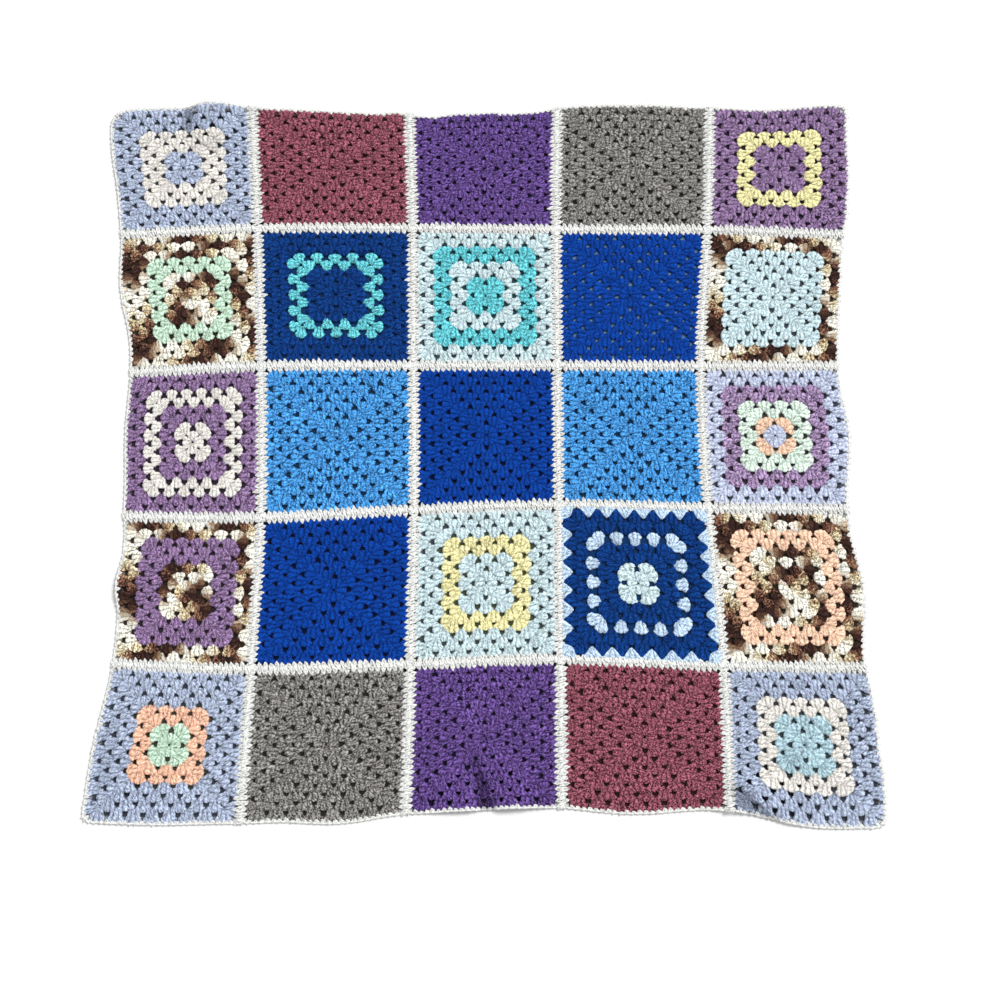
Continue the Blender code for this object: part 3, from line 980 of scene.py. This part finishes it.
    def rim_chain(self) -> None:
        """Run one closed chain round the rim: 40 links to a side, and four to a rounded corner."""
        half, corner = self.gauge.half_square - self.chain_inset, self.chain_corner
        side = np.linspace(-1, 1, 41)[:-1] * (half - corner)
        angle = np.linspace(0, 0.5 * np.pi, 5)[:-1]
        x = np.concatenate([side, half - corner + corner * np.sin(angle)])
        y = np.concatenate([np.full_like(side, half), half - corner + corner * np.cos(angle)])
        quarter = np.stack([x, y, np.full_like(x, self.chain_height)], -1)
        line = np.stack([turned(quarter, side) for side in range(SIDE_COUNT)]).reshape(1, -1, 3)
        wave = 1 + self.chain_wave * np.cos(np.pi * np.arange(line.shape[1]))
        radii = (self.chain_radius * wave)[None]
        self.yarnwork.add(
            self.home(line), radii, radii, Section.ROPE, Yarn.IVORY,
            np.zeros(1), np.zeros((1, 2)), closed=True,
        )

    def build(self) -> bpy.types.Object:
        """Crochet the square and put it in place of its solid.

        Returns:
            The piece.
        """
        dye = float(self.random.uniform(0, 1))
        for number, letter in enumerate(CHART[self.row][self.column], start=1):
            self.clusters(number, LETTERS[letter], dye)
            dye += SIDE_COUNT * number / DYE_REPEAT
        self.edge_round()
        self.rim_chain()
        piece = self.yarnwork.make(f"granny_{self.node}", self.lay, self.materials)
        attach(piece, "root")
        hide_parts(self.node)
        SLOTS[self.node]
        return piece


@dataclass
class Seam:
    """The whip stitches of one whole line of joins, across or down the blanket."""

    line: int  # which join, from 1
    is_row: bool  # whether it runs across the blanket
    lay: Lay
    materials: dict[Yarn, bpy.types.Material]
    step: float = 2.4  # from stitch to stitch
    reach: float = 3.6  # how far a stitch goes into each edge
    turns: float = 0.22  # how much further every other stitch goes, as a share
    lean: float = 3.2  # how far it slants
    wide: float = 1.15  # half width and half height of a stitch, as shares of its radius
    high: float = 0.55
    rough: float = 0.25
    spreads: tuple = (0.3, 0.45, 0.08, 0.5)  # of the lean, the place, the reach and the tone

    def build(self) -> bpy.types.Object:
        """Sew the seam and return it as a piece."""
        lay, step = self.lay, self.step
        lean_spread, place_spread, reach_spread, tone_spread = self.spreads
        draw = np.random.default_rng(SEED + 100 * self.line + self.is_row)
        half = lay.square * lay.count / 2
        count = int(2 * half / step)
        along = np.linspace(-half + step / 2, half - step / 2, count)
        offset = self.line * lay.square - half
        across, radius, z = np.array(WHIP_STITCH).T
        lean = self.lean * draw.normal(1, lean_spread, (count, 1))
        shift = along[:, None] + across * lean / 2 + draw.normal(0, place_spread, (count, 1))
        turns = 1 + self.turns * np.cos(np.pi * np.arange(count))
        side = offset + across * self.reach * (turns + draw.normal(0, reach_spread, count))[:, None]
        x, y = (shift, -side) if self.is_row else (side, shift)
        line = np.stack([x, y, np.broadcast_to(z, shift.shape)], -1)
        radii = np.broadcast_to(radius, shift.shape)
        yarnwork = Yarnwork()
        yarnwork.add(
            line, radii * self.wide, radii * self.high, Section.ROPE, Yarn.IVORY,
            draw.normal(0, tone_spread, count), np.zeros((count, 2)),
            rough=draw.normal(0, self.rough, (*shift.shape, len(Section.ROPE.value), 3)),
        )
        direction = "across" if self.is_row else "down"
        piece = yarnwork.make(f"seam_{direction}_{self.line}", lay, self.materials)
        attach(piece, "root")
        return piece


# --- Studio ---
# Painted light added to the floor's colour under squares with wider gaps, by row and column counted
# from 0.
PAINTED_FLOOR_LIGHT = {(1, 1): (0.004, 0.03, 0.11), (1, 3): (0.11, 0.22, 0.36), (3, 3): (0.003, 0.03, 0.11)}


@dataclass(frozen=True)
class FloorFinish:
    """Plain pale floor; under the blanket its colour carries painted shade, with painted light tinted
    by the yarn.
    """

    pale: float = 0.93
    shaded: float = 0.005  # painted shade: colour of the floor under the blanket, in every channel
    tint: float = 0.11  # painted light: how much is added of what all the yarns near it reflect
    margin: float = 0.02  # along the blanket's edges, in squares, that stays pale
    fade: float = 0.035  # over which it darkens from there, in squares

    def material(self) -> bpy.types.Material:
        """Make the floor's material, which shows the colours that its mesh carries."""
        shader = Shader("pale_floor")
        paint = shader.attribute("paint", "Color")
        return shader.finish(Base_Color=paint, Roughness=1.0, Specular_IOR_Level=0.0)

    def paint(self, across: np.ndarray, down: np.ndarray, lay: Lay, gauge: Gauge) -> np.ndarray:
        """Colour of the floor under the blanket: painted shade, with painted light tinted by the yarn
        above it.

        Args:
            across: squares from the left.
            down: squares from the head edge.
            lay: how the blanket lies.
            gauge: sizes of a square's crochet.

        Returns:
            Colours (n, 3).
        """
        last = lay.count - 1
        column, row = np.clip(np.floor([across, down]), 0, last).astype(int)
        reach = np.maximum(np.abs(across - column - 0.5), np.abs(down - row - 0.5)) * lay.square
        number = (reach / gauge.radius(1)).astype(int)
        colours = np.empty((len(across), 3))
        for index, place in enumerate(zip(row, column, number)):
            near = CHART[place[0]][place[1]][max(0, place[2] - 1):place[2] + 2]
            colours[index] = np.min([LETTERS[letter].colour for letter in near], 0)
        # Painted shade under the blanket, lightened by painted light tinted like the nearby yarns.
        shaded = self.shaded + self.tint * colours
        # Painted light, added under squares with wider gaps.
        for (own_row, own_column), painted_patch in PAINTED_FLOOR_LIGHT.items():
            shaded[(row == own_row) & (column == own_column)] += painted_patch
        inwards = np.minimum(np.minimum(across, lay.count - across), np.minimum(down, lay.count - down))
        depth = np.clip((inwards - self.margin) / self.fade, 0, 1)[:, None]
        return self.pale * (1 - depth) + shaded * depth


@dataclass
class Studio:
    """Pale floor, soft light and the camera."""

    floor_half: float = 6.0
    floor_cells: int = 16  # across one square
    aim_x: float = 23.2  # where the camera looks, in millimetres from the crossings' middle
    aim_y: float = -64.9
    distance: float = 2.0
    elevation: float = 75.0
    roll: float = -0.007  # radians
    lens: float = 60.48
    world_strength: float = 0.62
    sun_strength: float = 2.1
    sun_angle: float = 24.0  # how wide the sun is, in degrees: its shadows are soft
    sun_from: tuple = (0.55, 0.40, 0.95)

    def floor(self, lay: Lay) -> None:
        """Lay the floor: a fine net under the blanket, for the shade painted on it, and a wide skirt
        round that.

        Args:
            lay: how the blanket lies.
        """
        finish = FloorFinish()
        inset = np.array([0.0, finish.margin, finish.margin + finish.fade])
        inner = np.arange(2, self.floor_cells * lay.count - 1) / self.floor_cells
        steps = np.concatenate([inset, inner, lay.count - inset[::-1]])
        across, down = (grid.ravel() for grid in np.meshgrid(steps, steps))
        count = len(steps)
        x, y = lay.place(across, down)
        net = np.stack([x - lay.middle[0], y - lay.middle[1], np.zeros_like(x)], -1) * MM
        index = np.arange(count * count).reshape(count, count)
        rim = np.concatenate([index[0, :-1], index[:-1, -1], index[-1, :0:-1], index[:0:-1, 0]])
        outwards = net[rim, :2]
        far = outwards * (self.floor_half / np.abs(outwards).max(1))[:, None]
        points = np.concatenate([net, np.column_stack([far, np.zeros(len(rim))])])
        cells = np.stack([index[:-1, :-1], index[1:, :-1], index[1:, 1:], index[:-1, 1:]], -1)
        outer = count * count + np.arange(len(rim))
        skirt = np.stack([rim, np.roll(rim, -1), np.roll(outer, -1), outer], -1)
        mesh = bpy.data.meshes.new("floor")
        faces = np.concatenate([cells.reshape(-1, 4), skirt])
        mesh.from_pydata(points.tolist(), [], faces.tolist())
        paint = finish.paint(across, down, lay, Gauge())
        skirt_paint = np.full((len(rim), 3), finish.pale)
        paint = np.column_stack([np.concatenate([paint, skirt_paint]), np.ones(len(points))])
        data = mesh.attributes.new("paint", "FLOAT_COLOR", "POINT").data
        data.foreach_set("color", paint.astype(np.float32).ravel())
        mesh.materials.append(finish.material())
        placed("floor", mesh)

    def light(self) -> None:
        """Light the scene evenly, with a soft key from the upper right."""
        world = bpy.data.worlds.new("studio")
        world.use_nodes = True
        sky = world.node_tree.nodes["Background"].inputs
        sky["Color"].default_value = (1.0, 1.0, 1.0, 1.0)
        sky["Strength"].default_value = self.world_strength
        bpy.context.scene.world = world
        lamp = bpy.data.lights.new("key", "SUN")
        lamp.energy = self.sun_strength
        lamp.angle = math.radians(self.sun_angle)
        key = placed("key", lamp)
        key.rotation_euler = Vector(self.sun_from).to_track_quat("Z", "Y").to_euler()

    def camera(self, lay: Lay) -> None:
        """Set the camera up at the photograph's viewing angle.

        Args:
            lay: how the blanket lies.
        """
        tilt = math.radians(self.elevation)
        lens = bpy.data.cameras.new("camera")
        lens.lens = self.lens
        lens.sensor_width = 36.0
        camera = placed("camera", lens)
        aim_x = (self.aim_x - lay.middle[0]) * MM
        aim_y = (self.aim_y - lay.middle[1]) * MM
        back, up = self.distance * math.cos(tilt), self.distance * math.sin(tilt)
        camera.location = (aim_x, aim_y - back, up)
        camera.rotation_mode = "XYZ"
        camera.rotation_euler = (math.pi / 2 - tilt, 0.0, 0.0)
        camera.rotation_euler.rotate_axis("Z", self.roll)
        bpy.context.scene.camera = camera

    def build(self, lay: Lay) -> None:
        """Set up the whole studio."""
        self.floor(lay)
        self.light()
        self.camera(lay)
        bpy.context.scene.view_settings.view_transform = "Standard"


def report(piece: bpy.types.Object) -> None:
    """Log one finished piece."""
    triangles = sum(len(face.vertices) - 2 for face in piece.data.polygons)
    area = sum(face.area for face in piece.data.polygons)
    log.info("%s: %d triangles, %.4f square metres", piece.name, triangles, area)


def main() -> None:
    """Build the blanket and its studio."""
    logging.basicConfig(level=logging.INFO, format="%(name)s: %(message)s")
    lay = Lay()
    lay.centre_on(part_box("square_r3c3"))
    gauge = Gauge()
    materials = {yarn: yarn_finish(yarn).material(f"{yarn.name.lower()}_yarn") for yarn in Yarn}
    Studio().build(lay)
    for row in range(lay.count):
        for column in range(lay.count):
            own = OWN_GAUGES.get((row, column), gauge)
            report(GrannySquare(row, column, lay, own, materials).build())
    for is_row in (True, False):
        for line in range(1, lay.count):
            report(Seam(line, is_row, lay, materials).build())


if __name__ == "__main__":
    main()
